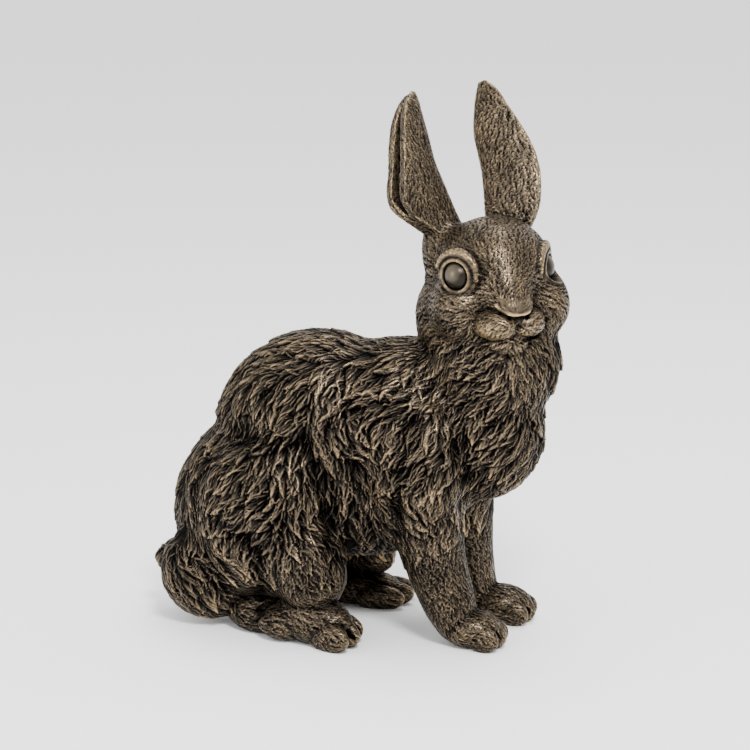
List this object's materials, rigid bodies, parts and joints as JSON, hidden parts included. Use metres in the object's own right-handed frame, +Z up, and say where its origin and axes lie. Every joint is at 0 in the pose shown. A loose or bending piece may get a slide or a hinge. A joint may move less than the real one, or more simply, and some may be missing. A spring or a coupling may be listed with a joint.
{
  "type": "rabbit statue",
  "caption": "Seated rabbit cast in bronze, ears raised and head turned to its right, with locks of fur all over and flat soles that it stands on.",
  "frame": {"origin": "on the floor, below the centre of the statue's box", "axes": "+X the way the chest points, +Y towards the rabbit's left side, +Z up"},
  "size_m": [0.3148, 0.1632, 0.4],
  "materials": {
    "bronze": null
  },
  "bodies": {
    "root": {"rabbit_statue": "bronze"}
  },
  "joints": []
}
